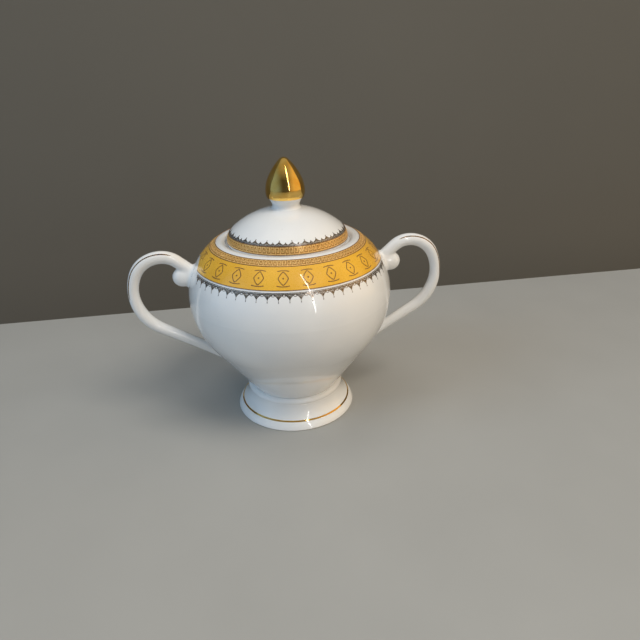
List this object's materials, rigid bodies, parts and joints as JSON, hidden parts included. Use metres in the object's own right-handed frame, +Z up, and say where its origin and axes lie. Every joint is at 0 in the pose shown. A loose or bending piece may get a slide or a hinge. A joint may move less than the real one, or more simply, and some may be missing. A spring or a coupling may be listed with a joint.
{
  "type": "lidded sugar bowl",
  "caption": "Lidded porcelain sugar bowl on a spreading foot, with ear handles, banded shoulder and a gilded bud knob; the lid lifts off.",
  "frame": {"origin": "centre of the foot on the table plane, under the axis of the bowl", "axes": "+Z up along the axis of the bowl and the way the lid lifts, +X towards the right handle, -Y the front"},
  "size_m": [0.1656, 0.1052, 0.1359],
  "materials": {
    "porcelain_glaze": "glossy clear glaze on white porcelain",
    "gold_lustre": "mirror-bright fired gold",
    "yellow_enamel": "glossy golden-yellow enamel with a bronze motif",
    "key_transfer": "matt gold and amber fret transfer",
    "lace_transfer": "grey and bronze metallic lace transfer"
  },
  "bodies": {
    "bowl": {"bowl_body": "porcelain_glaze", "pedestal_foot": "porcelain_glaze", "handle_right": "porcelain_glaze", "handle_left": "porcelain_glaze", "key_band": "key_transfer", "enamel_band_front": "yellow_enamel", "enamel_band_back": "yellow_enamel", "lace_border_front": "lace_transfer", "lace_border_back": "lace_transfer", "foot_gold_line": "gold_lustre", "handle_line_right_front": "gold_lustre", "handle_line_right_back": "gold_lustre", "handle_line_left_front": "gold_lustre", "handle_line_left_back": "gold_lustre"},
    "lid_assembly": {"lid": "porcelain_glaze", "knob": "porcelain_glaze", "knob_gilding": "gold_lustre", "lid_key_band": "key_transfer", "lid_lace_border": "lace_transfer"}
  },
  "joints": [
    {"name": "lid_lift", "type": "slide", "parent": "bowl", "child": "lid_assembly", "axis": [0, 0, 1], "range_m": [0, 0.06]}
  ]
}
